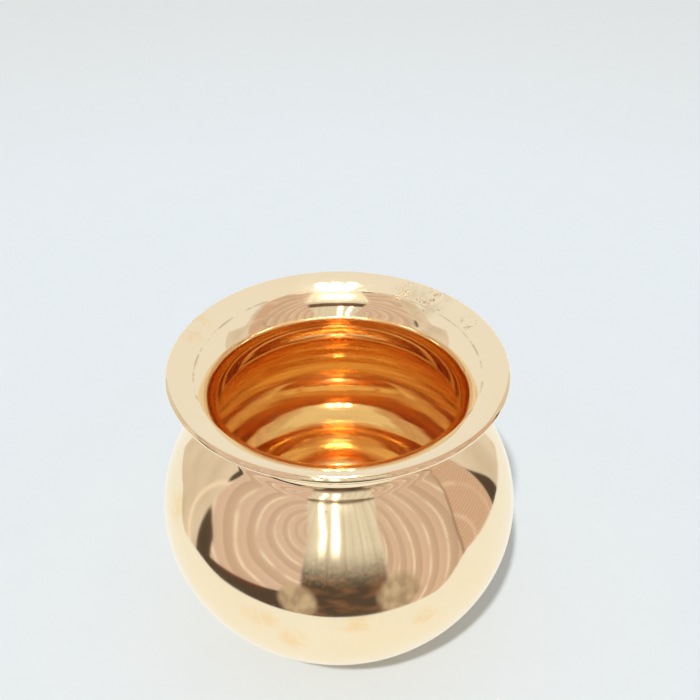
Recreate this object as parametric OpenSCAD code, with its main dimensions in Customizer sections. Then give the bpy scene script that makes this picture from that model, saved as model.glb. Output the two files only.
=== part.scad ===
// Round-bellied brass water pot with a short neck and a wide flared mouth.
// Millimetres, +Z up, origin at the centre of the face that it stands on.
// One even sheet runs from the base to the lip. It is made in three turned pieces, the lower
// bowl, the shoulder and the mouth, whose half-thickness laps are filled with braze.

/* [Belly] */
// Largest outer radius of the belly
belly_r = 54; // [46:0.5:70]
// Half of the height that the belly's oval would have if it were whole
belly_half_h = 46; // [36:0.5:60]
// Thickness of the sheet
wall = 0.9; // [0.7:0.05:1.4]

/* [Base] */
// Outer radius of the flat ring that the pot stands on
base_r = 19; // [15:0.5:24]
// Radius of the pushed-up middle of the base
dish_r = 12; // [6:0.5:13]
// How far the middle of the base is pushed up
dish_rise = 0.8; // [0.3:0.1:1.5]
// Width of the sloping edge of that middle
dish_edge = 1.6; // [1:0.1:3]

/* [Neck] */
// Inner radius of the neck, where it is narrowest
neck_r = 34.4; // [28:0.2:36]
// Outer radius of the hollow curve between shoulder and neck
waist_arc = 3.6; // [2.5:0.1:7]
// Height of the straight band in the neck
neck_band = 1.8; // [1.5:0.1:4]

/* [Mouth] */
// Outer radius of the mouth, over the rolled lip
mouth_r = 48; // [46:0.5:60]
// Radius of the inner face where the neck turns outwards
throat_arc = 12.4; // [8:0.2:13]
// Radius of the flatter curve between that turn and the crease
flare_arc = 23; // [16:0.5:30]
// Slope of the flare where the throat curve ends, in degrees
throat_slope = 45; // [43:0.5:50]
// Slope just inside the crease, in degrees
inner_slope = 37; // [34:0.5:41]
// Slope just outside the crease, in degrees
outer_slope = 31; // [25:0.5:33]
// Slope of the mouth where it meets the lip, in degrees
lip_slope = 19; // [10:0.5:22]
// Diameter of the wire inside the rolled lip
wire_d = 0.8; // [0.6:0.1:2]
// Gap at the free edge of the rolled lip
lip_gap = 0.15; // [0.1:0.05:0.3]

/* [Joints] */
// Height of the belly joint above the widest level
seam_rise = 0; // [-5:0.5:5]
// Height of the lap in the belly joint
belly_lap = 3; // [2:0.5:4]
// Thickness of the braze in both joints
braze_gap = 0.1; // [0.08:0.01:0.16]

/* [Hidden] */
$fn = 120;
brass = "#d9b56a";
braze = "#e6d29a";
steel = "#9a9a98";
oval_step = 2.5;
arc_step = 3;
halvings = 40;
beyond = 2 * (mouth_r + belly_half_h);

// The belly's oval: t is 0 at the widest level and 90 at the top, and off is the distance outside it.
// Heights count from the widest level until lifted() raises them.
function oval_normal(t) =
    let (n = [belly_half_h * cos(t), belly_r * sin(t)])
    n / norm(n);
function oval(t, off = 0) = [belly_r * cos(t), belly_half_h * sin(t)] + off * oval_normal(t);
function oval_run(t0, t1, off) =
    let (n = ceil((t1 - t0) / oval_step))
    [for (i = [0:n]) oval(t0 + (t1 - t0) * i / n, off)];

// A turned arc: its face slopes up and outwards by the angle s, and is upright at 90.
function slope_normal(s) = [-sin(s), cos(s)];
function arc_run(centre, r, s0, s1, skip = 0, drop = 0) =
    let (n = ceil(abs(s1 - s0) / arc_step))
    [for (i = [skip:n - drop]) centre + r * slope_normal(s0 + (s1 - s0) * i / n)];

// Outer radius of a neck whose waist arc leaves the belly at t, and the t that fits the wanted neck
function neck_at(t) = oval(t)[0] - waist_arc * (1 - oval_normal(t)[0]);
function fit_neck(lo, hi, left) =
    let (mid = (lo + hi) / 2)
    left == 0 ? mid
        : neck_at(mid) > neck_r + wall ? fit_neck(mid, hi, left - 1)
        : fit_neck(lo, mid, left - 1);

base_t = -acos(base_r / belly_r);
belly_z = -oval(base_t)[1];
neck_t = fit_neck(1, 89, halvings);
waist_c = oval(neck_t) + waist_arc * oval_normal(neck_t);
waist_slope = 90 + asin(oval_normal(neck_t)[1]);

// Centres of the mouth's arcs, from the neck outwards, and of the rolled lip
throat_c = [neck_r + throat_arc, waist_c[1] + neck_band];
flare_c = throat_c + (throat_arc - flare_arc) * slope_normal(throat_slope);
crease = flare_c + flare_arc * slope_normal(inner_slope);
lip_r = wire_d / 2 + wall;
lip_c_r = mouth_r - lip_r;
rim_arc = (lip_c_r - lip_r * sin(lip_slope) - crease[0]) / (sin(outer_slope) - sin(lip_slope));
rim_c = crease - rim_arc * slope_normal(outer_slope);
lip_c = rim_c + (rim_arc - lip_r) * slope_normal(lip_slope);
crease_turn = (inner_slope - outer_slope) / 2;
crease_under = crease - wall / cos(crease_turn) * slope_normal(outer_slope + crease_turn);

// Middle of the wall at each joint
seam_z = belly_z + seam_rise;
seam_r = belly_r * sqrt(1 - pow(seam_rise / belly_half_h, 2)) - wall / 2;
neck_seam_z = belly_z + waist_c[1] + neck_band / 2;
neck_seam_r = neck_r + wall / 2;

function backwards(points) = [for (i = [len(points) - 1:-1:0]) points[i]];
function lifted(points) = [for (p = points) p + [0, belly_z]];
function dish(z) = [[0, z + dish_rise], [dish_r - dish_edge, z + dish_rise], [dish_r, z]];

// Both faces of the sheet, from the axis to the lip
outer_face = concat(dish(0), lifted(concat(
    oval_run(base_t, neck_t, 0),
    arc_run(waist_c, waist_arc, waist_slope, 90, skip = 1),
    arc_run(throat_c, throat_arc - wall, 90, throat_slope),
    arc_run(flare_c, flare_arc - wall, throat_slope, inner_slope, skip = 1, drop = 1),
    [crease_under],
    arc_run(rim_c, rim_arc - wall, outer_slope, lip_slope, skip = 1)
)));
inner_face = concat(dish(wall), lifted(concat(
    [for (p = oval_run(base_t, neck_t, -wall)) if (p[1] + belly_z > wall) p],
    arc_run(waist_c, waist_arc + wall, waist_slope, 90, skip = 1),
    arc_run(throat_c, throat_arc, 90, throat_slope),
    arc_run(flare_c, flare_arc, throat_slope, inner_slope, skip = 1),
    arc_run(rim_c, rim_arc, outer_slope, lip_slope, skip = 1)
)));

module sheet() {
    polygon(concat(outer_face, backwards(inner_face)));
}

// Everything below z, and everything nearer to the axis than r that is also below z
module below(z, r = beyond) {
    translate([0, -beyond]) square([r, beyond + z]);
}

// The piece inside a lap, which ends below the joint's middle or reaches up behind the other piece
module inner_half(r, z, lap) {
    below(z - lap / 2);
    below(z + lap / 2 - braze_gap, r - braze_gap / 2);
}

// The same space with the braze added to it
module inner_half_and_braze(r, z, lap) {
    below(z - lap / 2 + braze_gap);
    below(z + lap / 2, r + braze_gap / 2);
}

// The neck's lap is the other way round: the mouth's collar hangs down inside the shoulder.
module shoulder_space() {
    below(neck_seam_z - neck_band / 2);
    difference() {
        below(neck_seam_z + neck_band / 2 - braze_gap);
        below(neck_seam_z + neck_band / 2, neck_seam_r + braze_gap / 2);
    }
}

module shoulder_and_braze_space() {
    below(neck_seam_z - neck_band / 2 + braze_gap);
    difference() {
        below(neck_seam_z + neck_band / 2);
        below(neck_seam_z + neck_band / 2 + 1, neck_seam_r - braze_gap / 2);
    }
}

// The slot under the free edge of the rolled lip, as long as the lip is wide
module lip_slot() {
    along = [-cos(lip_slope), -sin(lip_slope)];
    up = slope_normal(lip_slope);
    top = wire_d / 2;
    polygon([for (q = [[0, top], [2 * lip_r, top], [2 * lip_r, top - lip_gap], [0, top - lip_gap]])
        q[0] * along + q[1] * up]);
}

module at_lip() {
    translate([lip_c[0], lip_c[1] + belly_z]) children();
}

module lower_bowl() {
    color(brass) rotate_extrude() intersection() {
        sheet();
        inner_half(seam_r, seam_z, belly_lap);
    }
}

module belly_braze() {
    color(braze) rotate_extrude() intersection() {
        sheet();
        difference() {
            inner_half_and_braze(seam_r, seam_z, belly_lap);
            inner_half(seam_r, seam_z, belly_lap);
        }
    }
}

module shoulder() {
    color(brass) rotate_extrude() intersection() {
        sheet();
        difference() {
            shoulder_space();
            inner_half_and_braze(seam_r, seam_z, belly_lap);
        }
    }
}

module neck_braze() {
    color(braze) rotate_extrude() intersection() {
        sheet();
        difference() {
            shoulder_and_braze_space();
            shoulder_space();
        }
    }
}

module mouth() {
    color(brass) rotate_extrude() difference() {
        union() {
            difference() {
                sheet();
                shoulder_and_braze_space();
            }
            at_lip() circle(lip_r);
        }
        at_lip() circle(wire_d / 2);
        at_lip() lip_slot();
    }
}

module lip_wire() {
    color(steel) rotate_extrude() at_lip() circle(wire_d / 2);
}

lower_bowl();
shoulder();
mouth();
lip_wire();
belly_braze();
neck_braze();
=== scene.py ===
# A polished brass kalash pot on a pale studio floor.
import math

import bpy
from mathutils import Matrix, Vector


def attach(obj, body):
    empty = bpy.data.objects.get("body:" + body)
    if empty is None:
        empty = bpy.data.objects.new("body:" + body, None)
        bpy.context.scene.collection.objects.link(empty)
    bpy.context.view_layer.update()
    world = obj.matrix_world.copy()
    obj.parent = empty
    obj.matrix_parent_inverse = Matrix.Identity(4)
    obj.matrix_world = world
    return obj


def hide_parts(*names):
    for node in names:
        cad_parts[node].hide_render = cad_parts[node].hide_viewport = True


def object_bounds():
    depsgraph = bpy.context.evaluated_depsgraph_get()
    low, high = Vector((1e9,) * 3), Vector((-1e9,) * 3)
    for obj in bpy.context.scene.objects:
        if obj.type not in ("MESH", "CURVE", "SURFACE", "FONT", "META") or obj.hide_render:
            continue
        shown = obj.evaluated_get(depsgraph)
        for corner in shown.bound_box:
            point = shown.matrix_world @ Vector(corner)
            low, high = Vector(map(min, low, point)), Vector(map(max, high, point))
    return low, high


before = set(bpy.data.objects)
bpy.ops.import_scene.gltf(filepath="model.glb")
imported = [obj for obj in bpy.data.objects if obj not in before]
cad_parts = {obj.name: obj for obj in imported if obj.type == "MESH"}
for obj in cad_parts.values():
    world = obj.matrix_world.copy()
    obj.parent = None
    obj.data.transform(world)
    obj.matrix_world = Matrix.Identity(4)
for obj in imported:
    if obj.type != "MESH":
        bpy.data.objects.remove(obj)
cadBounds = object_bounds()
scene = bpy.context.scene
mm = 0.001


# Short calls for building a node tree and linking it as it grows.
class Tree:
    def __init__(self, tree):
        self.tree = tree

    def feed(self, node, key, value):
        socket = node.inputs[key]
        if isinstance(value, bpy.types.NodeSocket):
            self.tree.links.new(value, socket)
        else:
            socket.default_value = value

    def add(self, kind, inputs=None, **settings):
        node = self.tree.nodes.new(kind)
        for name, value in settings.items():
            setattr(node, name, value)
        for key, value in (inputs or {}).items():
            self.feed(node, key, value)
        return node

    def math(self, operation, a, b=0.0, c=0.0):
        return self.add("ShaderNodeMath", {0: a, 1: b, 2: c}, operation=operation).outputs[0]

    def vector(self, operation, a, b=(0.0, 0.0, 0.0)):
        node = self.add("ShaderNodeVectorMath", {0: a, 1: b}, operation=operation)
        return node.outputs["Value" if operation == "LENGTH" else 0]

    def product(self, *values):
        result = values[0]
        for value in values[1:]:
            result = self.math("MULTIPLY", result, value)
        return result

    def scaled(self, vector, factor):
        inputs = {0: vector, "Scale": factor}
        return self.add("ShaderNodeVectorMath", inputs, operation="SCALE").outputs[0]

    def place(self):
        return self.add("ShaderNodeTexCoord").outputs["Object"]

    def span(self, value, low, high, outLow=0.0, outHigh=1.0, kind="SMOOTHSTEP"):
        inputs = {0: value, 1: low, 2: high, 3: outLow, 4: outHigh}
        return self.add("ShaderNodeMapRange", inputs, interpolation_type=kind).outputs[0]

    def combine(self, x, y, z):
        return self.add("ShaderNodeCombineXYZ", {0: x, 1: y, 2: z}).outputs[0]

    def split(self, vector):
        return self.add("ShaderNodeSeparateXYZ", {0: vector}).outputs

    def noise(self, vector, scale, detail=3.0, roughness=0.5, distortion=0.0):
        inputs = {"Vector": vector, "Scale": scale, "Detail": detail, "Roughness": roughness}
        inputs["Distortion"] = distortion
        return self.add("ShaderNodeTexNoise", inputs).outputs["Fac"]

    def mix(self, factor, a, b):
        return self.add("ShaderNodeMix", {0: factor, 6: a, 7: b}, data_type="RGBA").outputs[2]

    def bump(self, height, strength, distance):
        inputs = {"Height": height, "Strength": strength, "Distance": distance}
        return self.add("ShaderNodeBump", inputs).outputs[0]

    def group(self, tree, **inputs):
        node = self.add("ShaderNodeGroup", node_tree=tree)
        for key, value in inputs.items():
            self.feed(node, key, value)
        return node.outputs


def newGroup(name, inputs, outputs):
    tree = bpy.data.node_groups.new(name, "ShaderNodeTree")
    for socketName, kind, value in inputs:
        socket = tree.interface.new_socket(socketName, in_out="INPUT", socket_type=kind)
        socket.default_value = value
    for socketName, kind in outputs:
        tree.interface.new_socket(socketName, in_out="OUTPUT", socket_type=kind)
    t = Tree(tree)
    return tree, t, t.add("NodeGroupInput").outputs, t.add("NodeGroupOutput")


# Millimetres and degrees. These are the sizes of the frame's solids.
potShape = {
    "bellyRadius": 54.0,
    "bellyHalfHeight": 46.0,
    "sheet": 0.9,
    "baseRadius": 19.0,
    "dishRadius": 12.0,
    "dishRise": 0.8,
    "dishEdge": 1.6,
    "neckRadius": 34.4,
    "waistArc": 3.6,
    "neckBand": 1.8,
    "mouthRadius": 48.0,
    "throatArc": 12.4,
    "flareArc": 23.0,
    "throatSlope": 45.0,
    "innerSlope": 37.0,
    "outerSlope": 31.0,
    "lipSlope": 19.0,
    "wireDiameter": 0.8,
    "lipGap": 0.15,
    "bellyLap": 3.0,
    "brazeGap": 0.1,
}

# How finely the outline is drawn, and what spinning and rubbing left on it.
potSurface = {
    "step": 0.55,  # mm along the outline
    "segments": 300,
    "ridgeInside": 0.0035,  # mm, half of a spinning ridge's height
    "ridgeOutside": 0.0006,
    "ridgeWaves": ((2.9, 0.0, 0.6), (1.9, 1.3, 0.35), (5.3, 2.1, 0.9), (8.3, 0.6, 1.0)),
    "ridgeFade": 4.0,  # mm above the floor over which the ridges start
    "ridgesAboveWaist": 0.3,  # the share that polishing left there
    "wireTurn": 15,  # degrees between the points round the wire
    "lipInside": 20,  # steps along the roll's inner and outer faces
    "lipOutside": 48,
    "sharpAngle": 35.0,
    "join": 0.0002,  # mm, points closer than this are one
    "wobble": 0.03,  # mm, how far hand work pushed the sheet out of true either way
    "wobbleSize": 22.0,
    "wobbleFade": 10.0,  # mm from the axis over which the wobble starts
    "seed": 4,
}


def unitAt(slope):
    return Vector((-math.sin(math.radians(slope)), math.cos(math.radians(slope))))


def ovalNormal(t):
    s = potShape
    return Vector((s["bellyHalfHeight"] * math.cos(t), s["bellyRadius"] * math.sin(t))).normalized()


def ovalPoint(t, off=0.0):
    s = potShape
    point = Vector((s["bellyRadius"] * math.cos(t), s["bellyHalfHeight"] * math.sin(t)))
    return point + off * ovalNormal(t)


def neckAt(t):
    return ovalPoint(t).x - potShape["waistArc"] * (1 - ovalNormal(t).x)


# Halves the span of t until the neck has its wanted radius.
def neckAngle():
    low, high = 0.02, 1.55
    for _ in range(40):
        middle = (low + high) / 2
        if neckAt(middle) > potShape["neckRadius"] + potShape["sheet"]:
            low = middle
        else:
            high = middle
    return low


def arcRun(centre, radius, slopeFrom, slopeTo):
    length = radius * math.radians(abs(slopeTo - slopeFrom))
    count = max(2, math.ceil(length / potSurface["step"]))
    slopes = [slopeFrom + (slopeTo - slopeFrom) * i / count for i in range(count + 1)]
    return [centre + radius * unitAt(slope) for slope in slopes]


def ovalRun(t0, t1, off):
    s = potShape
    count = math.ceil((t1 - t0) * s["bellyRadius"] / potSurface["step"])
    return [ovalPoint(t0 + (t1 - t0) * i / count, off) for i in range(count + 1)]


def straightRun(points):
    out = [points[0]]
    for a, b in zip(points, points[1:]):
        count = max(1, math.ceil((b - a).length / potSurface["step"]))
        out += [a + (b - a) * i / count for i in range(1, count + 1)]
    return out


# The centres that both faces of the sheet are drawn round. Heights count from the floor.
def potCentres():
    s = potShape
    baseAngle = -math.acos(s["baseRadius"] / s["bellyRadius"])
    bellyZ = -ovalPoint(baseAngle).y
    lift = Vector((0, bellyZ))
    t = neckAngle()
    waist = ovalPoint(t) + s["waistArc"] * ovalNormal(t) + lift
    throat = Vector((s["neckRadius"] + s["throatArc"], waist.y + s["neckBand"]))
    flare = throat + (s["throatArc"] - s["flareArc"]) * unitAt(s["throatSlope"])
    crease = flare + s["flareArc"] * unitAt(s["innerSlope"])
    lipRadius = s["wireDiameter"] / 2 + s["sheet"]
    lipAcross = lipRadius * math.sin(math.radians(s["lipSlope"]))
    turn = math.sin(math.radians(s["outerSlope"])) - math.sin(math.radians(s["lipSlope"]))
    rimArc = (s["mouthRadius"] - lipRadius - lipAcross - crease.x) / turn
    rim = crease - rimArc * unitAt(s["outerSlope"])
    lip = rim + (rimArc - lipRadius) * unitAt(s["lipSlope"])
    return {
        "baseAngle": baseAngle,
        "neckAngle": t,
        "waistSlope": 90 + math.degrees(math.asin(ovalNormal(t).y)),
        "lift": lift,
        "waist": waist,
        "throat": throat,
        "flare": flare,
        "crease": crease,
        "rim": rim,
        "rimArc": rimArc,
        "lip": lip,
        "lipRadius": lipRadius,
        "bellySeam": Vector((s["bellyRadius"] - s["sheet"] / 2, bellyZ)),
        "neckSeam": Vector((s["neckRadius"] + s["sheet"] / 2, waist.y + s["neckBand"] / 2)),
    }


centres = potCentres()


# The sum of a few waves, each with its length, phase and size, stands for the tool's ridges.
def ridge(height):
    waves = potSurface["ridgeWaves"]
    return sum(size * math.sin(2 * math.pi * height / length + phase) for length, phase, size in waves)


def faceLine(inside):
    s = potShape
    c = centres
    off = -s["sheet"] if inside else 0.0
    arc = 0.0 if inside else -s["sheet"]
    floor = s["sheet"] if inside else 0.0
    dish = [
        Vector((0, floor + s["dishRise"])),
        Vector((s["dishRadius"] - s["dishEdge"], floor + s["dishRise"])),
        Vector((s["dishRadius"], floor)),
    ]
    belly = [p + c["lift"] for p in ovalRun(c["baseAngle"], c["neckAngle"], off)]
    belly = [p for p in belly if p.y > floor]
    waist = arcRun(c["waist"], s["waistArc"] - off, c["waistSlope"], 90)
    throat = arcRun(c["throat"], s["throatArc"] + arc, 90, s["throatSlope"])
    flare = arcRun(c["flare"], s["flareArc"] + arc, s["throatSlope"], s["innerSlope"])
    rim = arcRun(c["rim"], c["rimArc"] + arc, s["outerSlope"], s["lipSlope"])
    line = straightRun(dish + belly[:1]) + belly + waist[1:]
    line += straightRun([waist[-1], throat[0]])[1:]
    return line + throat[1:] + flare[1:-1] + rim


# Moves each point of a face along its normal by the ridges that its side has.
def ridged(line, size):
    out = [line[0]]
    for before, point, after in zip(line, line[1:], line[2:]):
        along = (after - before).normalized()
        fade = min(1.0, max(0.0, point.y / potSurface["ridgeFade"]))
        left = 1.0 if point.y < centres["waist"].y else potSurface["ridgesAboveWaist"]
        out.append(point + Vector((along.y, -along.x)) * ridge(point.y) * size * fade * left)
    return out + [line[-1]]


outerFace = ridged(faceLine(False), potSurface["ridgeOutside"])
innerFace = ridged(faceLine(True), potSurface["ridgeInside"])


# The stretch of a face between two heights, cut exactly at each of them.
def cut(line, low=None, high=None):
    out = [line[0]] if low is None else []
    for a, b in zip(line, line[1:]):
        if low is not None and a.y < low <= b.y:
            out.append(a + (b - a) * (low - a.y) / (b.y - a.y))
        if (low is None or b.y > low) and (high is None or b.y < high):
            out.append(b)
        if high is not None and a.y < high <= b.y:
            out.append(a + (b - a) * (high - a.y) / (b.y - a.y))
            break
    return out


def steps(*points):
    return [Vector(p) for p in points]


# One entry for each piece: its closed outline, from the outer face round to the inner one.
def potOutlines():
    s = potShape
    c = centres
    gap = s["brazeGap"]
    half = gap / 2
    lap = s["bellyLap"] / 2
    seam = c["bellySeam"]
    low, high = seam.y - lap, seam.y + lap
    neck = c["neckSeam"]
    neckLow, neckHigh = neck.y - s["neckBand"] / 2, neck.y + s["neckBand"] / 2
    lowerBowl = cut(outerFace, None, low)
    lowerBowl += steps((seam.x - half, low), (seam.x - half, high - gap))
    lowerBowl += cut(innerFace, None, high - gap)[::-1]
    bellyBraze = cut(outerFace, low, low + gap)
    bellyBraze += steps((seam.x + half, low + gap), (seam.x + half, high))
    bellyBraze += cut(innerFace, high - gap, high)[::-1]
    bellyBraze += steps((seam.x - half, high - gap), (seam.x - half, low))
    shoulder = cut(outerFace, low + gap, neckHigh - gap)
    shoulder += steps((neck.x + half, neckHigh - gap), (neck.x + half, neckLow))
    shoulder += cut(innerFace, high, neckLow)[::-1]
    shoulder += steps((seam.x + half, high), (seam.x + half, low + gap))
    neckBraze = cut(outerFace, neckHigh - gap, neckHigh)
    neckBraze += steps((neck.x - half, neckHigh), (neck.x - half, neckLow + gap))
    neckBraze += cut(innerFace, neckLow, neckLow + gap)[::-1]
    neckBraze += steps((neck.x + half, neckLow), (neck.x + half, neckHigh - gap))
    mouth = cut(outerFace, neckHigh) + lipRoll() + cut(innerFace, neckLow + gap)[::-1]
    mouth += steps((neck.x - half, neckLow + gap), (neck.x - half, neckHigh))
    turns = range(0, 360, potSurface["wireTurn"])
    wire = [c["lip"] + s["wireDiameter"] / 2 * unitAt(-angle) for angle in turns]
    return {
        "lowerBowl": lowerBowl,
        "bellyBraze": bellyBraze + bellyBraze[:1],
        "shoulder": shoulder + shoulder[:1],
        "neckBraze": neckBraze + neckBraze[:1],
        "mouth": mouth + mouth[:1],
        "lipWire": wire[::-1] + wire[-1:],
    }


# The sheet's edge turned once round the wire, with its free end just under the flare.
def lipRoll():
    s = potShape
    c = centres
    up = unitAt(s["lipSlope"])
    out = Vector((up.y, -up.x))
    wire = s["wireDiameter"] / 2
    edge = wire - s["lipGap"]

    def around(radius, start, end, count):
        angles = [math.radians(start + (end - start) * i / count) for i in range(count + 1)]
        return [c["lip"] + radius * (math.cos(a) * up + math.sin(a) * out) for a in angles]

    innerEnd = 360 - math.degrees(math.acos(edge / wire))
    outerEnd = 360 - math.degrees(math.acos(edge / c["lipRadius"]))
    inner = around(wire, 0, innerEnd, potSurface["lipInside"])
    outer = around(c["lipRadius"], outerEnd, 0, potSurface["lipOutside"])
    return inner[1:] + outer[:-1]


# Turns the outline that the object holds about the axis, and joins where the turn closes.
def latheTree():
    tree = bpy.data.node_groups.new("Lathe", "GeometryNodeTree")
    for name, kind, way in (
        ("Outline", "NodeSocketGeometry", "INPUT"),
        ("Segments", "NodeSocketInt", "INPUT"),
        ("Wobble", "NodeSocketFloat", "INPUT"),
        ("Wobble Size", "NodeSocketFloat", "INPUT"),
        ("Wobble Fade", "NodeSocketFloat", "INPUT"),
        ("Seed", "NodeSocketInt", "INPUT"),
        ("Sharp Angle", "NodeSocketFloat", "INPUT"),
        ("Join", "NodeSocketFloat", "INPUT"),
        ("Material", "NodeSocketMaterial", "INPUT"),
        ("Piece", "NodeSocketGeometry", "OUTPUT"),
    ):
        tree.interface.new_socket(name, in_out=way, socket_type=kind)
    t = Tree(tree)
    given = t.add("NodeGroupInput").outputs
    outline = given["Outline"]
    count = t.add("GeometryNodeAttributeDomainSize", {0: outline}, component="MESH").outputs[0]
    columns = t.math("ADD", given["Segments"], 1.0)
    sizes = {"Vertices X": columns, "Vertices Y": count}
    grid = t.add("GeometryNodeMeshGrid", sizes).outputs["Mesh"]
    index = t.add("GeometryNodeInputIndex").outputs[0]
    row = t.math("MODULO", index, count)
    column = t.math("FLOOR", t.math("DIVIDE", index, count))
    angle = t.math("MULTIPLY", t.math("DIVIDE", column, given["Segments"]), 2 * math.pi)

    # each row of the grid takes the radius and the height of one point of the outline
    sample = t.add("GeometryNodeSampleIndex", {0: outline, "Index": row}, data_type="FLOAT_VECTOR")
    t.feed(sample, "Value", t.add("GeometryNodeInputPosition").outputs[0])
    radius, _, height = t.split(sample.outputs["Value"])
    across = t.combine(t.math("COSINE", angle), t.math("SINE", angle), 0.0)
    perfect = t.vector("ADD", t.scaled(across, radius), t.combine(0.0, 0.0, height))

    # hand work pushes the sheet a little in and out, but not at the axis
    sized = t.scaled(perfect, t.math("DIVIDE", 1.0, given["Wobble Size"]))
    inputs = {"Vector": sized, "W": given["Seed"], "Scale": 1.0, "Detail": 1.0}
    noise = t.add("ShaderNodeTexNoise", inputs, noise_dimensions="4D").outputs[0]
    push = t.math("MULTIPLY", t.math("SUBTRACT", noise, 0.5), given["Wobble"])
    away = t.math("MINIMUM", t.math("DIVIDE", radius, given["Wobble Fade"]), 1.0)
    moved = t.vector("ADD", perfect, t.scaled(across, t.math("MULTIPLY", push, away)))
    put = t.add("GeometryNodeSetPosition", {"Geometry": grid, "Position": moved}).outputs[0]
    inputs = {"Geometry": put, "Distance": given["Join"]}
    merged = t.add("GeometryNodeMergeByDistance", inputs).outputs[0]
    inputs = {"Geometry": merged, "Shade Smooth": True}
    smooth = t.add("GeometryNodeSetShadeSmooth", inputs, domain="FACE").outputs[0]
    turn = t.add("GeometryNodeInputMeshEdgeAngle").outputs["Unsigned Angle"]
    soft = t.math("LESS_THAN", turn, given["Sharp Angle"])
    inputs = {"Geometry": smooth, "Shade Smooth": soft}
    edges = t.add("GeometryNodeSetShadeSmooth", inputs, domain="EDGE").outputs[0]
    real = t.add("GeometryNodeRealizeInstances", {0: edges}).outputs[0]
    coated = t.add("GeometryNodeSetMaterial", {"Geometry": real, "Material": given["Material"]})
    tree.links.new(coated.outputs[0], t.add("NodeGroupOutput").inputs[0])
    return tree


lathe = latheTree()


def turnPiece(name, outline, material):
    places = [(p.x * mm, 0.0, p.y * mm) for p in outline]
    mesh = bpy.data.meshes.new(name)
    mesh.from_pydata(places, [(i, i + 1) for i in range(len(places) - 1)], [])
    piece = bpy.data.objects.new(name, mesh)
    scene.collection.objects.link(piece)
    modifier = piece.modifiers.new("Lathe", "NODES")
    modifier.node_group = lathe
    values = {
        "Segments": potSurface["segments"],
        "Wobble": potSurface["wobble"] * 2 * mm,
        "Wobble Size": potSurface["wobbleSize"] * mm,
        "Wobble Fade": potSurface["wobbleFade"] * mm,
        "Seed": potSurface["seed"],
        "Sharp Angle": math.radians(potSurface["sharpAngle"]),
        "Join": potSurface["join"] * mm,
        "Material": material,
    }
    for socket in lathe.interface.items_tree:
        if socket.in_out == "INPUT" and socket.name in values:
            modifier[socket.identifier] = values[socket.name]
    bpy.context.view_layer.update()
    seen = piece.evaluated_get(bpy.context.evaluated_depsgraph_get())
    turned = bpy.data.meshes.new_from_object(seen)
    piece.modifiers.clear()
    piece.data = turned
    turned.name = name
    bpy.data.meshes.remove(mesh)
    return piece


# A vector that runs round the pot and along its outline, so that a pattern follows the turning.
def turnedSpaceGroup():
    inputs = [("Around", "NodeSocketFloat", 10.0), ("Along", "NodeSocketFloat", 1000.0)]
    tree, t, given, out = newGroup("Turned space", inputs, [("Vector", "NodeSocketVector")])
    x, y, z = t.split(t.place())
    radius = t.vector("LENGTH", t.combine(x, y, 0.0))
    radius = t.math("MAXIMUM", radius, 0.0005)  # keeps the axis from dividing by nothing
    reach = t.math("ADD", z, t.math("MULTIPLY", radius, 0.37))  # so that flat stretches change too
    turn = t.math("DIVIDE", given["Around"], radius)
    around = t.combine(t.math("MULTIPLY", x, turn), t.math("MULTIPLY", y, turn), 0.0)
    along = t.combine(0.0, 0.0, t.math("MULTIPLY", reach, given["Along"]))
    t.feed(out, 0, t.vector("ADD", around, along))
    return tree


# Each lay of buffing strokes: how it is turned, and how finely it is drawn along each axis.
strokeLays = (
    ((0.5, 0.3, 0.4), (2600, 260, 300)),
    ((-0.4, 0.2, -0.9), (2200, 240, 260)),
)


# Fine lines left by buffing: rings round the pot, and short strokes laid across them by hand.
def buffingGroup(space):
    inputs = [
        ("Rings", "NodeSocketFloat", 1.0),
        ("Ridges", "NodeSocketFloat", 1.0),
        ("Strokes", "NodeSocketFloat", 1.0),
    ]
    outputs = [("Height", "NodeSocketFloat"), ("Haze", "NodeSocketFloat")]
    tree, t, given, out = newGroup("Buffing lines", inputs, outputs)
    rings = t.group(space, Around=6.0, Along=5200.0)[0]
    wide = t.group(space, Around=1.6, Along=640.0)[0]
    fine = t.noise(rings, 1.0, 4.0, 0.65)
    broad = t.noise(wide, 1.0, 2.0, 0.5)
    place = t.place()
    strokes = []
    for turn, stretch in strokeLays:
        angled = t.add("ShaderNodeMapping", {"Vector": place, "Rotation": turn, "Scale": stretch})
        strokes.append(t.noise(angled.outputs[0], 1.0, 3.0, 0.6))
    brushed = t.span(t.noise(place, 55.0, 2.0), 0.42, 0.66)
    crossed = t.product(*strokes, brushed, given["Strokes"])
    height = t.math("MULTIPLY_ADD", fine, given["Rings"], crossed)
    height = t.math("MULTIPLY_ADD", broad, given["Ridges"], height)
    t.feed(out, 0, height)
    t.feed(out, 1, t.math("MULTIPLY_ADD", brushed, 0.6, t.math("MULTIPLY", fine, 0.4)))
    return tree


# Dull freckles and brown patches where the polish has missed or the metal was handled.
def tarnishGroup():
    inputs = [
        ("Where", "NodeSocketFloat", 0.5),
        ("Grain", "NodeSocketFloat", 900.0),
        ("Amount", "NodeSocketFloat", 0.5),
    ]
    outputs = [("Film", "NodeSocketFloat"), ("Freckles", "NodeSocketFloat")]
    tree, t, given, out = newGroup("Tarnish", inputs, outputs)
    place = t.place()
    cloud = t.noise(place, 140.0, 4.0, 0.6, 0.4)
    speckle = t.noise(place, given["Grain"], 3.0, 0.6)
    t.feed(out, 0, t.product(given["Where"], t.span(cloud, 0.38, 0.72), given["Amount"]))
    uneven = t.math("MULTIPLY", t.span(t.noise(place, 420.0, 2.0), 0.42, 0.66), given["Where"])
    spots = t.span(t.math("MULTIPLY_ADD", uneven, 0.22, speckle), 0.62, 0.72)
    nearby = t.math("MINIMUM", t.math("MULTIPLY", given["Where"], 3.0), 1.0)
    t.feed(out, 1, t.product(spots, nearby, given["Amount"]))
    return tree


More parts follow.
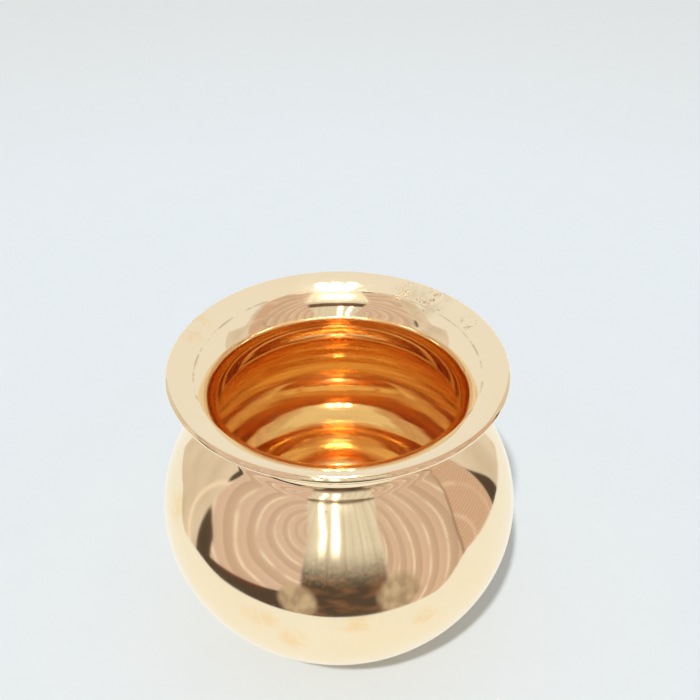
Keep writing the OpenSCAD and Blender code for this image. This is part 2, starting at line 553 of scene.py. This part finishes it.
# Tiny pits and dust, no more than a few in each square centimetre.
def speckGroup():
    inputs = [("Spacing", "NodeSocketFloat", 0.006), ("Size", "NodeSocketFloat", 0.04)]
    tree, t, given, out = newGroup("Specks", inputs, [("Specks", "NodeSocketFloat")])
    inputs = {"Vector": t.place(), "Scale": t.math("DIVIDE", 1.0, given["Spacing"])}
    cells = t.add("ShaderNodeTexVoronoi", {**inputs, "Randomness": 1.0})
    chance = t.split(cells.outputs["Color"])
    size = t.math("MULTIPLY", given["Size"], chance[1])
    dot = t.math("LESS_THAN", cells.outputs["Distance"], size)
    kept = t.math("GREATER_THAN", chance[0], 0.62)  # most cells hold no speck
    t.feed(out, 0, t.math("MULTIPLY", dot, kept))
    return tree


turnedSpace = turnedSpaceGroup()
buffing = buffingGroup(turnedSpace)
tarnish = tarnishGroup()
specks = speckGroup()


def newMaterial(name):
    material = bpy.data.materials.new(name)
    material.use_nodes = True
    material.node_tree.nodes.clear()
    t = Tree(material.node_tree)
    shader = t.add("ShaderNodeBsdfPrincipled")
    t.tree.links.new(shader.outputs[0], t.add("ShaderNodeOutputMaterial").inputs[0])
    return material, t, shader


brassLook = {
    "brass": (0.95, 0.785, 0.54, 1.0),
    "warmer": (0.94, 0.74, 0.45, 1.0),
    "inside": (0.955, 0.745, 0.43, 1.0),
    # the inside's darker streaks and the neck's colour: aged metal, deepened with painted shade
    "insideAgeAndShade": (0.74, 0.44, 0.22, 1.0),
    "neck": (0.82, 0.56, 0.33, 1.0),
    "stain": (0.94, 0.66, 0.33, 1.0),
    "tarnish": (0.42, 0.27, 0.14, 1.0),
    "speck": (0.16, 0.10, 0.06, 1.0),
    "edgeTint": (1.0, 0.99, 0.96, 1.0),
    "roughness": 0.055,
    "haze": 0.05,
    "rings": 0.5,
    "ridges": 0.4,
    "insideRidges": 0.8,
    "insideFilm": 0.012,  # how much of the inside scatters like a dull film
    "strokes": 2.2,
    "creaseWidth": 0.4,  # mm
    "shadeFrom": (30.0, 58.0),  # mm above the floor, where painted shade starts to darken the inside
    "darkLow": 0.15,  # how much of the painted shade is left below that
    "stainShown": 0.75,
    "filmShown": 0.45,
    "frecklesShown": 0.9,
    "freckleGrain": 1500.0,
    "wear": 0.85,
    "speckSpacing": 0.0075,  # metres
    "speckSize": 0.035,  # as a share of the spacing
    "creaseShown": 0.6,
    "filmRoughness": 0.16,
    "freckleRoughness": 0.3,
    "speckDepth": 2.0,  # in the bump's own heights
    "bump": 0.5,
    "bumpHeight": 0.0025,  # mm
    "brazeCloud": (0.93, 0.80, 0.55, 1.0),
}


# A soft round patch at a bearing from +X, a height and a size in millimetres.
def patch(t, place, radius, bearing, height, size, stretch):
    a = math.radians(bearing)
    centre = (radius * math.cos(a) * mm, radius * math.sin(a) * mm, height * mm)
    away = t.vector("SUBTRACT", place, centre)
    away = t.vector("MULTIPLY", away, (1.0, 1.0, stretch))
    return t.span(t.vector("LENGTH", away), size * mm, size * 0.25 * mm)


# Where each dull patch lies: radius, bearing, height, size and how far it is squeezed upright.
dullPatches = {
    "rimFar": (42.0, 60.0, 92.8, 6.0, 1.0),
    "rimFarRight": (43.5, 48.0, 93.5, 8.0, 1.0),
    "rimRight": (43.5, 27.0, 93.4, 4.0, 1.0),
}
stains = {
    "lowLeft": (53.9, -113.0, 45.5, 8.0, 1.5),
    "lowLeftDrip": (54.0, -103.0, 40.0, 6.0, 0.9),
    "lowMiddle": (53.8, -84.0, 47.5, 9.0, 2.2),
    "lowRight": (54.0, -64.0, 44.5, 5.0, 1.0),
    "rimStain": (46.0, 160.0, 94.0, 9.0, 1.0),
    "shoulderLeft": (50.5, -155.0, 59.0, 7.0, 1.0),
}


def brassSheet():
    look = brassLook
    material, t, shader = newMaterial("brassSheet")
    place = t.place()
    x, y, z = t.split(place)
    radius = t.vector("LENGTH", t.combine(x, y, 0.0))

    # the inside metal is aged and redder than the polished outside, and painted darker in streaks
    # higher up and in the neck: painted shade under the shoulder and in the throat
    upOval = t.math("SUBTRACT", z, centres["lift"].y * mm)
    upOval = t.math("DIVIDE", upOval, potShape["bellyHalfHeight"] * mm)
    outOval = t.math("DIVIDE", radius, potShape["bellyRadius"] * mm)
    fromOval = t.vector("LENGTH", t.combine(outOval, upOval, 0.0))
    inOval = t.math("LESS_THAN", fromOval, 1 - potShape["sheet"] / 2 / potShape["bellyRadius"])
    inNeck = t.math("LESS_THAN", radius, centres["neckSeam"].x * mm)
    inNeck = t.math("MULTIPLY", inNeck, t.math("GREATER_THAN", z, (centres["waist"].y - 2.0) * mm))
    inside = t.span(z, (centres["throat"].y + 5.0) * mm, (centres["throat"].y + 1.0) * mm)
    inside = t.math("MULTIPLY", inside, t.math("MAXIMUM", inOval, inNeck))
    ridges = t.span(inside, 0.0, 1.0, look["ridges"], look["insideRidges"], "LINEAR")
    lines = t.group(buffing, Rings=look["rings"], Ridges=ridges, Strokes=look["strokes"])

    def strongest(patches):
        value = 0.0
        for spot in patches.values():
            value = t.math("MAXIMUM", value, patch(t, place, *spot))
        return value

    dull = strongest(dullPatches)
    blotches = t.span(t.noise(place, 160.0, 4.0, 0.6, 0.8), 0.36, 0.62)
    stained = t.math("MULTIPLY", strongest(stains), blotches)

    # the crease holds a broken brown line
    fromCrease = t.math("ABSOLUTE", t.math("SUBTRACT", radius, centres["crease"].x * mm))
    broken = t.span(t.noise(t.group(turnedSpace, Around=7.0, Along=160.0)[0], 1.0, 4.0), 0.42, 0.62)
    inCrease = t.span(fromCrease, look["creaseWidth"] * mm, 0.0)
    upTop = t.math("GREATER_THAN", z, (centres["crease"].y - 1.0) * mm)
    creaseLine = t.product(inCrease, broken, upTop)

    worn = t.group(tarnish, Where=dull, Grain=look["freckleGrain"], Amount=look["wear"])
    dots = t.group(specks, Spacing=look["speckSpacing"], Size=look["speckSize"])[0]

    # colour, from the clean metal up through what lies on it
    warm = t.span(t.noise(place, 45.0, 3.0), 0.35, 0.75, 0.0, 0.35)
    colour = t.mix(warm, look["brass"], look["warmer"])
    streaks = t.noise(t.group(turnedSpace, Around=1.5, Along=420.0)[0], 1.0, 4.0, 0.6)
    streaks = t.span(streaks, 0.35, 0.7)
    darkLow, darkHigh = look["shadeFrom"]
    shaded = t.span(z, darkLow * mm, darkHigh * mm, look["darkLow"], 1.0)
    agedAndShaded = t.mix(t.math("MULTIPLY", streaks, shaded), look["inside"], look["insideAgeAndShade"])
    # the neck's inside is darker still: painted shade in the throat
    agedAndShaded = t.mix(inNeck, agedAndShaded, look["neck"])
    colour = t.mix(inside, colour, agedAndShaded)
    colour = t.mix(t.math("MULTIPLY", stained, look["stainShown"]), colour, look["stain"])
    colour = t.mix(t.math("MULTIPLY", worn["Film"], look["filmShown"]), colour, look["tarnish"])
    freckles = t.math("MULTIPLY", worn["Freckles"], look["frecklesShown"])
    colour = t.mix(freckles, colour, look["tarnish"])
    colour = t.mix(t.math("MULTIPLY", creaseLine, look["creaseShown"]), colour, look["tarnish"])
    colour = t.mix(dots, colour, look["speck"])
    t.feed(shader, "Base Color", colour)
    t.feed(shader, "Metallic", t.span(inside, 0.0, 1.0, 1.0, 1 - look["insideFilm"], "LINEAR"))
    t.feed(shader, "Specular Tint", look["edgeTint"])
    rough = t.math("MULTIPLY_ADD", lines["Haze"], look["haze"], look["roughness"])
    dulled = t.math("MULTIPLY", t.math("ADD", worn["Film"], creaseLine), look["filmRoughness"])
    rough = t.math("ADD", rough, dulled)
    dulled = t.math("MULTIPLY", t.math("ADD", worn["Freckles"], dots), look["freckleRoughness"])
    t.feed(shader, "Roughness", t.math("ADD", rough, dulled))
    height = t.math("SUBTRACT", lines["Height"], t.math("MULTIPLY", dots, look["speckDepth"]))
    t.feed(shader, "Normal", t.bump(height, look["bump"], look["bumpHeight"] * mm))
    return material


def brazeLine():
    look = brassLook
    material, t, shader = newMaterial("braze")
    cloud = t.span(t.noise(t.place(), 300.0, 3.0), 0.35, 0.7)
    lines = t.group(buffing, Rings=look["rings"], Ridges=look["ridges"], Strokes=look["strokes"])
    t.feed(shader, "Base Color", t.mix(cloud, look["brass"], look["brazeCloud"]))
    t.feed(shader, "Metallic", 1.0)
    t.feed(shader, "Specular Tint", look["edgeTint"])
    rough = t.math("MULTIPLY_ADD", lines["Haze"], look["haze"], look["roughness"])
    t.feed(shader, "Roughness", rough)
    t.feed(shader, "Normal", t.bump(lines["Height"], look["bump"], look["bumpHeight"] * mm))
    return material


wireLook = {
    "steel": (0.45, 0.44, 0.43, 1.0),
    "rust": (0.20, 0.10, 0.05, 1.0),
    "rustShown": 0.6,
    "rustCover": 0.7,  # how far rust hides the metal
    "roughness": 0.35,
    "rustRoughness": 0.4,  # more than the steel's
    "bump": 0.5,
    "bumpHeight": 0.01,  # mm
}


def drawnWire():
    look = wireLook
    material, t, shader = newMaterial("drawnWire")
    drawn = t.noise(t.group(turnedSpace, Around=4.0, Along=9000.0)[0], 1.0, 3.0)
    rust = t.span(t.noise(t.place(), 700.0, 4.0, 0.7), 0.52, 0.72)
    colour = t.mix(t.math("MULTIPLY", rust, look["rustShown"]), look["steel"], look["rust"])
    t.feed(shader, "Base Color", colour)
    hidden = t.math("MULTIPLY", rust, look["rustCover"])
    t.feed(shader, "Metallic", t.math("SUBTRACT", 1.0, hidden))
    rough = t.math("MULTIPLY_ADD", rust, look["rustRoughness"], look["roughness"])
    t.feed(shader, "Roughness", rough)
    t.feed(shader, "Normal", t.bump(drawn, look["bump"], look["bumpHeight"] * mm))
    return material


materials = {"sheet": brassSheet(), "braze": brazeLine(), "wire": drawnWire()}
print(f"made {len(materials)} metals")

# Each piece, the frame's solid that it stands for, its slot in the record and its material.
pieces = {
    "lowerBowl": ("lower_bowl", "brass_sheet", "sheet"),
    "shoulder": ("shoulder", "brass_sheet", "sheet"),
    "mouth": ("mouth", "brass_sheet", "sheet"),
    "lipWire": ("lip_wire", "lip_wire", "wire"),
    "bellyBraze": ("belly_braze", "braze", "braze"),
    "neckBraze": ("neck_braze", "braze", "braze"),
}
outlines = potOutlines()
for name, (node, slotName, look) in pieces.items():
    piece = turnPiece(name, outlines[name], materials[look])
    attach(piece, "root")
    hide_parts(node)
    print(f"turned {name}: {len(piece.data.polygons)} faces")


# Lengths are metres where nothing else is said.
studio = {
    "floorSize": 6.0,
    "floorGap": 0.0001,
    # the paper is painted bluer near the pot, against the brass's warm bounce light, and darker far
    # off, as painted shade
    "floor": (0.815, 0.86, 0.88, 1.0),
    "farFloorShade": (0.77, 0.785, 0.775, 1.0),
    "farFrom": (0.25, 0.8),
    "mottle": (0.5, 0.52, 0.53, 1.0),
    "mottleShown": 0.02,
    "floorShine": 0.16,
    "sky": (0.93, 0.95, 0.97, 1.0),
    "fill": 0.52,
    "reflected": 0.96,
    "seen": 0.80,
    "keyFrom": (-9.0, -26.5, 43.0),
    "keyStrength": 1.85,
    "keySoftness": 2.5,  # degrees
    "lampColour": (1.0, 0.97, 0.90, 1.0),
    "lampRow": (0.0, -0.55, 1.2),
    "lampSpacing": 0.1,
    "lampRadius": 0.02,
    "lampGlow": 480.0,
    "tubeSpacing": 0.075,
    "tubeReach": (-0.9, 0.15),  # in front of the pot and behind it
    "tubeRadius": 0.005,
    "tubeGlow": 70.0,
}


def emissionMaterial(name, kind=Tree):
    material = bpy.data.materials.new(name)
    material.use_nodes = True
    material.node_tree.nodes.clear()
    t = kind(material.node_tree)
    shader = t.add("ShaderNodeEmission")
    t.tree.links.new(shader.outputs[0], t.add("ShaderNodeOutputMaterial").inputs[0])
    return material, t, shader


# Paper that glows a little, only to rays off the brass, so it looks a little brighter in the brass
# than it does to the camera. Its colour is painted bluer near the pot, against the brass's warm bounce
# light, and darker away from it, as painted shade where the light falls off.
def paperMaterial():
    material, t, shader = newMaterial("paper")
    place = t.place()
    far = t.span(t.vector("LENGTH", place), *studio["farFrom"])
    tone = t.mix(far, studio["floor"], studio["farFloorShade"])
    mottle = t.span(t.noise(place, 60.0, 4.0, 0.6), 0.3, 0.7, 0.0, studio["mottleShown"])
    tone = t.mix(mottle, tone, studio["mottle"])
    t.feed(shader, "Base Color", tone)
    t.feed(shader, "Roughness", 0.9)
    t.feed(shader, "Specular IOR Level", 0.1)
    t.feed(shader, "Emission Color", studio["sky"])
    glossy = t.add("ShaderNodeLightPath").outputs["Is Glossy Ray"]
    t.feed(shader, "Emission Strength", t.math("MULTIPLY", glossy, studio["floorShine"]))
    return material


def addFloor():
    half = studio["floorSize"] / 2
    z = cadBounds[0][2] - studio["floorGap"]
    corners = [(x * half, y * half, z) for x, y in ((-1, -1), (1, -1), (1, 1), (-1, 1))]
    mesh = bpy.data.meshes.new("floor")
    mesh.from_pydata(corners, [], [(0, 1, 2, 3)])
    floor = bpy.data.objects.new("floor", mesh)
    scene.collection.objects.link(floor)
    mesh.materials.append(paperMaterial())


def addSky():
    world = bpy.data.worlds.new("sky")
    scene.world = world
    world.use_nodes = True
    t = Tree(world.node_tree)
    background = world.node_tree.nodes["Background"]
    path = t.add("ShaderNodeLightPath").outputs
    t.feed(background, 0, studio["sky"])
    seen = t.span(path["Is Camera Ray"], 0.0, 1.0, studio["fill"], studio["seen"], "LINEAR")
    t.feed(background, 1, t.span(path["Is Glossy Ray"], 0.0, 1.0, seen, studio["reflected"], "LINEAR"))


def aimed(thing, target):
    thing.rotation_euler = (Vector(target) - thing.location).to_track_quat("-Z", "Y").to_euler()


def onlyInBrass(thing):
    thing.visible_camera = False
    thing.visible_diffuse = False
    thing.visible_shadow = False
    thing.visible_transmission = False


def addKey():
    light = bpy.data.lights.new("key", "SUN")
    light.energy = studio["keyStrength"]
    light.angle = math.radians(studio["keySoftness"])
    key = bpy.data.objects.new("key", light)
    scene.collection.objects.link(key)
    key.location = Vector(studio["keyFrom"]).normalized()
    aimed(key, (0, 0, 0))
    key.visible_glossy = False


# Three round lamps in a row, and three dimmer tubes that pass over the pot from front to back.
def addLamps():
    glows = {}
    for name in ("lampGlow", "tubeGlow"):
        glows[name], t, shader = emissionMaterial(name)
        t.feed(shader, 0, studio["lampColour"])
        t.feed(shader, 1, studio[name])
    centre = Vector(studio["lampRow"])
    front, back = studio["tubeReach"]
    for i in (-1, 0, 1):
        bpy.ops.mesh.primitive_uv_sphere_add(segments=24, ring_count=12, radius=studio["lampRadius"])
        lamp = bpy.context.object
        lamp.name = f"lamp{i + 2}"
        lamp.location = centre + Vector((i * studio["lampSpacing"], 0, 0))
        lamp.data.materials.append(glows["lampGlow"])
        onlyInBrass(lamp)
        size = {"radius": studio["tubeRadius"], "depth": back - front}
        bpy.ops.mesh.primitive_cylinder_add(vertices=12, rotation=(math.pi / 2, 0, 0), **size)
        tube = bpy.context.object
        tube.name = f"tube{i + 2}"
        tube.location = (i * studio["tubeSpacing"], (front + back) / 2, centre.z)
        tube.data.materials.append(glows["tubeGlow"])
        onlyInBrass(tube)


# The drapes are glowing cards, seen only in the brass: their colours paint the room it reflects, with
# the room's light and shade.
# Bearings are degrees from straight in front, and heights are millimetres.
drape = {
    "from": -118,
    "to": 121,
    "panels": 120,
    "near": 136.0,
    "sideways": 0.10,  # how much further off the sides hang
    "height": 640.0,
    "sideHeight": 200.0,
    "sideFrom": (95, 99),
    "leftFoot": 33.0,
    "leftFootFrom": (87, 100),
    "leftRise": 7.0,
    "leftRiseFrom": (55, 78),
    "rightFoot": 32.0,
    "rightFootFrom": (45, 68),
    "glow": 3.2,  # how much brighter the two slits are
    "foldShade": 0.55,
    "foldLight": 0.9,
    "room": (0.80, 0.75, 0.70, 1.0),
    "roomShade": (0.68, 0.61, 0.54, 1.0),
    "cloth": (0.77, 0.62, 0.58, 1.0),
    "clothShade": (0.46, 0.34, 0.29, 1.0),
    "rightCloth": (0.77, 0.61, 0.54, 1.0),
    "outerCloth": (0.74, 0.54, 0.44, 1.0),
    "fold": (1.0, 0.91, 0.85, 1.0),
    "dark": (0.095, 0.07, 0.055, 1.0),
    "redShadow": (0.22, 0.05, 0.03, 1.0),
    "brown": (0.22, 0.125, 0.08, 1.0),
    "pale": (0.88, 0.88, 0.84, 1.0),
    "paleShade": (0.55, 0.50, 0.40, 1.0),
    "cushion": (0.62, 0.52, 0.41, 1.0),
    "cushionShade": (0.42, 0.34, 0.26, 1.0),
}


# A node tree on the drapes, which knows the bearing and the height of each point.
class DrapeTree(Tree):
    def __init__(self, tree):
        super().__init__(tree)
        x, y, z = self.split(self.place())
        turn = self.math("ARCTAN2", x, self.math("MULTIPLY", y, -1.0))
        self.bearing = self.math("DEGREES", turn)
        self.height = self.math("MULTIPLY", z, 1 / mm)
        self.flat = self.pattern(0.1, 0.02)

    def pattern(self, across, upright):
        x = self.math("MULTIPLY", self.bearing, across)
        return self.combine(x, self.math("MULTIPLY", self.height, upright), 0.0)

    def band(self, value, low, high, soft):
        start = self.span(value, low - soft, low + soft)
        return self.product(start, self.span(value, high + soft, high - soft))

    def past(self, value, edge, soft):
        return self.span(self.math("SUBTRACT", value, edge), -soft, soft)

    def reach(self, centre, size):
        across = self.math("DIVIDE", self.math("SUBTRACT", self.bearing, centre[0]), size[0])
        rise = self.math("DIVIDE", self.math("SUBTRACT", self.height, centre[1]), size[1])
        return self.vector("LENGTH", self.combine(across, rise, 0.0))

    def blob(self, centre, size, soft=0.2):
        uneven = self.math("SUBTRACT", self.noise(self.flat, 1.1, 3.0), 0.5)
        away = self.math("MULTIPLY_ADD", uneven, 0.5, self.reach(centre, size))
        return self.span(away, 1.0 + soft, 1.0 - soft)

    # folds are thin pale lines round a centre, each fading into shade on its outer side
    def folds(self, centre, size, count, twist):
        away = self.math("MULTIPLY_ADD", self.reach(centre, size), 2.0, 1.0)
        away = self.math("LOGARITHM", away, math.e)
        bent = self.math("SUBTRACT", self.noise(self.flat, 0.3, 1.0), 0.5)
        bent = self.math("MULTIPLY", bent, twist)
        wave = self.math("FRACT", self.math("MULTIPLY_ADD", away, count, bent))
        line = self.math("ABSOLUTE", self.math("SUBTRACT", wave, 0.5))
        uneven = self.span(self.noise(self.flat, 0.9, 2.0), 0.35, 0.6, 0.2, 1.0)
        return self.math("MULTIPLY", self.span(line, 0.13, 0.0), uneven), wave

    def cloth(self, under, inside, folds, tone):
        line, wave = folds
        shade = self.math("MULTIPLY", wave, drape["foldShade"])
        shade = self.mix(shade, tone, drape["clothShade"])
        light = self.math("MULTIPLY", line, drape["foldLight"])
        return self.mix(inside, under, self.mix(light, shade, drape["fold"]))


# The two figures of an edge are where it starts and where it is complete.
roomPaint = {
    "fold": ((-62.0, 60.0), (24.0, 95.0)),  # centre and size of a ring
    "foldWidth": 0.09,
    "foldShown": 0.8,
}


def paintRoom(t):
    p = roomPaint
    mottle = t.span(t.noise(t.flat, 0.5, 2.0), 0.35, 0.7)
    colour = t.mix(mottle, drape["room"], drape["roomShade"])
    fromFold = t.math("ABSOLUTE", t.math("SUBTRACT", t.reach(*p["fold"]), 1.0))
    ring = t.span(fromFold, p["foldWidth"], 0.0, 0.0, p["foldShown"])
    return t.mix(ring, colour, drape["fold"])


leftPaint = {
    "folds": ((-13.0, 142.0), (26.0, 64.0), 4.1, 0.8),  # centre, size, how many and how bent
    "edge": -77.0,
    "edgeLean": 11.0,  # degrees, over the low stretch
    "lowStretch": (96.0, 46.0),
    "end": (-14.0, -17.0),
    "top": (570.0, 550.0),
    "foot": 43.0,  # straight in front, from where it falls to the left
    "footSlope": 0.35,  # mm to a degree
    "wedge": (-76.5, -60.0, 0.8),  # from, to and how soft
    "wedgeTop": (88.0, 74.0),
    "spot": ((-79.5, 160.0), (2.0, 30.0)),
    "under": (-62.0, -10.0, 1.0),
    "red": (5.0, 2.0),  # mm below the foot
    "redEnd": (-30.0, -36.0),
    "redShown": 0.8,
}


# The left cloth, with dark wedges beside and below it: painted shadow, reddish just under the cloth's
# foot.
def paintLeft(t, colour):
    p = leftPaint
    low = t.span(t.height, *p["lowStretch"])
    edge = t.math("MULTIPLY_ADD", low, p["edgeLean"], p["edge"])
    foot = t.math("MULTIPLY_ADD", t.bearing, p["footSlope"], p["foot"])
    # painted shadow: dark wedges beside the cloth and a dark band under it
    wedge = t.product(t.band(t.bearing, *p["wedge"]), t.span(t.height, *p["wedgeTop"]))
    colour = t.mix(t.math("MAXIMUM", wedge, t.blob(*p["spot"])), colour, drape["dark"])
    red = t.span(t.math("SUBTRACT", foot, t.height), *p["red"], 0.0, p["redShown"])
    red = t.product(red, t.span(t.bearing, *p["redEnd"]))
    under = t.mix(red, drape["dark"], drape["redShadow"])
    colour = t.mix(t.band(t.bearing, *p["under"]), colour, under)
    inside = t.product(
        t.past(t.bearing, edge, 0.8),
        t.past(t.height, foot, 1.5),
        t.span(t.bearing, *p["end"]),
        t.span(t.height, *p["top"]),
    )
    return t.cloth(colour, inside, t.folds(*p["folds"]), drape["cloth"])


rightPaint = {
    "folds": ((6.0, 118.0), (36.0, 150.0), 6.2, 0.7),
    "packedFolds": ((6.0, 118.0), (36.0, 150.0), 19.0, 1.2),
    "packedEnd": (47.0, 30.0),
    "packedShown": 0.6,
    "start": (22.0, 25.0),
    "top": (570.0, 550.0),
    "edge": (58.0, 175.0, 64.0, 77.0),  # two heights, and the bearing at each
    "seam": (1.4, 0.2),
    "seamTop": (200.0, 120.0),
    "seamShown": 0.6,
    "weave": (0.95, 0.19),  # holes to a degree and to a millimetre
    "hole": (0.48, 0.2),
    "holeShown": 0.8,
    "meshStart": (46.0, 62.0),
    "meshShown": 0.5,
    "outer": (60.0, 92.5, 0.8),
    "outerFolds": ((60.0, 40.0), (30.0, 120.0), 2.4, 0.9),
    "outerFoldsShown": 0.35,
    "wedgeStart": 92.5,
    "wedgeEdge": (30.0, 118.0, 101.5, 92.5),
}


# The right cloth, with a second one of open weave behind it and a dark wedge past that.
def paintRight(t, colour):
    p = rightPaint
    inputs = {"Vector": t.pattern(*p["weave"]), "Scale": 1.0, "Randomness": 0.15}
    cells = t.add("ShaderNodeTexVoronoi", inputs).outputs["Distance"]
    hole = t.span(cells, *p["hole"])
    outer = t.math("MULTIPLY", hole, p["holeShown"])
    outer = t.mix(outer, drape["outerCloth"], drape["clothShade"])
    crossing = t.math("MULTIPLY", t.folds(*p["outerFolds"])[0], p["outerFoldsShown"])
    outer = t.mix(crossing, outer, drape["fold"])
    top = t.span(t.height, *p["top"])
    wedgeEdge = t.span(t.height, *p["wedgeEdge"])
    wedge = t.product(t.past(t.bearing, p["wedgeStart"], 0.6), t.past(wedgeEdge, t.bearing, 0.6))
    colour = t.mix(wedge, colour, drape["dark"])
    colour = t.mix(t.product(t.band(t.bearing, *p["outer"]), top), colour, outer)

    edge = t.span(t.height, *p["edge"])
    inside = t.product(t.past(edge, t.bearing, 0.6), t.span(t.bearing, *p["start"]), top)
    colour = t.cloth(colour, inside, t.folds(*p["folds"]), drape["rightCloth"])
    packed = t.product(t.folds(*p["packedFolds"])[0], inside, t.span(t.bearing, *p["packedEnd"]))
    colour = t.mix(t.math("MULTIPLY", packed, p["packedShown"]), colour, drape["clothShade"])
    meshed = t.product(hole, inside, t.span(t.bearing, *p["meshStart"]))
    colour = t.mix(t.math("MULTIPLY", meshed, p["meshShown"]), colour, drape["clothShade"])
    seam = t.span(t.math("ABSOLUTE", t.math("SUBTRACT", t.bearing, edge)), *p["seam"])
    seam = t.product(seam, t.span(t.height, *p["seamTop"], 0.0, p["seamShown"]))
    return t.mix(seam, colour, drape["brown"])


gapPaint = {
    "narrowFrom": 135.0,
    "narrowOver": 200.0,
    "left": (-17.0, -0.105),  # bearing, and degrees to each mm above where it changes
    "right": (23.0, 0.09),
    "pale": (48.0, 112.0),
    "ragged": 70.0,
    "barFoot": (212.0, 222.0),
    "barTop": (282.0, 268.0),
    "cushions": (((-18.0, 22.0), (9.0, 28.0)), ((28.0, 28.0), (10.0, 32.0))),
    "slits": ((-8.6, -0.07, 1.5), (-1.2, -0.02, 1.9)),  # bearing, lean and half width
    "slitEdge": 0.8,
    "slitHeight": (104.0, 226.0, 18.0),
    "highFoot": (300.0, 340.0),
    "highGlow": 0.5,
}


# The gap between the cloths: dark below, as painted shadow in the room, and pale above, with two
# bright upright slits.
def paintGap(t, colour):
    p = gapPaint
    above = t.math("MINIMUM", t.math("SUBTRACT", t.height, p["narrowFrom"]), p["narrowOver"])
    above = t.math("MAXIMUM", above, 0.0)
    left = t.math("MULTIPLY_ADD", above, p["left"][1], p["left"][0])
    right = t.math("MULTIPLY_ADD", above, p["right"][1], p["right"][0])
    rough = t.noise(t.flat, 9.0, 5.0, 0.7)
    smeared = t.noise(t.pattern(0.07, 0.06), 1.0, 2.0)
    upright = t.noise(t.pattern(0.45, 0.0), 1.0, 4.0, 0.6)
    # painted shadow: dark and brown low in the gap
    gap = t.mix(t.span(smeared, 0.42, 0.62), drape["dark"], drape["brown"])
    shade = t.span(t.math("MULTIPLY_ADD", rough, 0.3, upright), 0.5, 0.9)
    pale = t.mix(shade, drape["pale"], drape["paleShade"])
    edge = t.math("MULTIPLY_ADD", t.math("SUBTRACT", rough, 0.5), p["ragged"], t.height)
    gap = t.mix(t.span(edge, *p["pale"]), gap, pale)
    bar = t.product(t.span(t.height, *p["barFoot"]), t.span(t.height, *p["barTop"]))
    gap = t.mix(bar, gap, t.mix(t.span(upright, 0.4, 0.6), drape["brown"], drape["dark"]))
    inside = t.product(t.past(t.bearing, left, 1.2), t.past(right, t.bearing, 1.2))
    colour = t.mix(inside, colour, gap)
    stuffed = t.span(t.noise(t.flat, 1.8, 2.0), 0.35, 0.65)
    cushion = t.mix(stuffed, drape["cushion"], drape["cushionShade"])
    for centre, size in p["cushions"]:
        colour = t.mix(t.blob(centre, size), colour, cushion)

    slits = 0.0
    for bearing, lean, halfWidth in p["slits"]:
        away = t.math("SUBTRACT", t.bearing, t.math("MULTIPLY_ADD", above, lean, bearing))
        soft = p["slitEdge"]
        slit = t.span(t.math("ABSOLUTE", away), halfWidth + soft, halfWidth - soft)
        slits = t.math("MAXIMUM", slits, slit)
    slits = t.product(slits, t.band(t.height, *p["slitHeight"]))

    # above the bar the gap is striped, pale and bright by turns
    high = t.product(t.past(t.bearing, left, 2.0), t.past(right, t.bearing, 2.0))
    high = t.product(high, t.span(t.height, *p["highFoot"]))
    stripes = t.noise(t.pattern(1.3, 0.0), 1.0, 3.0, 0.6)
    colour = t.mix(t.product(high, t.span(stripes, 0.52, 0.40)), colour, drape["paleShade"])
    high = t.product(high, t.span(stripes, 0.48, 0.60))
    return colour, t.math("MAXIMUM", slits, t.math("MULTIPLY", high, p["highGlow"]))


def drapeMaterial():
    material, t, shader = emissionMaterial("drapes", DrapeTree)
    colour, bright = paintGap(t, paintRight(t, paintLeft(t, paintRoom(t))))
    t.feed(shader, 0, colour)
    t.feed(shader, 1, t.math("MULTIPLY_ADD", bright, drape["glow"], 1.0))
    return material


def eased(value, low, high):
    part = min(1.0, max(0.0, (value - low) / (high - low)))
    return part * part * (3 - 2 * part)


def addDrapes():
    d = drape
    count = d["panels"]
    corners = []
    for i in range(count + 1):
        bearing = d["from"] + (d["to"] - d["from"]) * i / count
        side = math.sin(math.radians(bearing))
        front = math.cos(math.radians(bearing))
        reach = d["near"] * (1 + d["sideways"] * side * side)
        foot = d["leftFoot"] * eased(-bearing, *d["leftFootFrom"])
        foot += d["leftRise"] * eased(-bearing, *d["leftRiseFrom"])
        foot += d["rightFoot"] * eased(bearing, *d["rightFootFrom"])
        lower = eased(abs(bearing), *d["sideFrom"])
        top = d["height"] + (d["sideHeight"] - d["height"]) * lower
        for z in (foot, top):
            corners.append((reach * side * mm, -reach * front * mm, z * mm))
    mesh = bpy.data.meshes.new("drapes")
    mesh.from_pydata(corners, [], [(2 * i, 2 * i + 2, 2 * i + 3, 2 * i + 1) for i in range(count)])
    mesh.materials.append(drapeMaterial())
    drapes = bpy.data.objects.new("drapes", mesh)
    scene.collection.objects.link(drapes)
    onlyInBrass(drapes)


addFloor()
addSky()
addKey()
addLamps()
addDrapes()
print("studio lit")

# The camera looks down at the pot from in front, about 25 cm away.
view = {
    "lens": 46.29,
    "pitch": 36.07,  # degrees below level
    "side": 3.36,  # mm
    "back": 202.5,
    "overLip": 151.7,
}
cameraData = bpy.data.cameras.new("camera")
cameraData.lens = view["lens"]
cameraData.clip_start = 0.01
camera = bpy.data.objects.new("camera", cameraData)
scene.collection.objects.link(camera)
camera.location = (view["side"] * mm, -view["back"] * mm, (centres["lip"].y + view["overLip"]) * mm)
camera.rotation_euler = (math.radians(90 - view["pitch"]), 0, 0)
scene.camera = camera

scene.view_settings.view_transform = "Standard"
scene.cycles.max_bounces = 16
scene.cycles.glossy_bounces = 16
scene.cycles.sample_clamp_indirect = 80.0
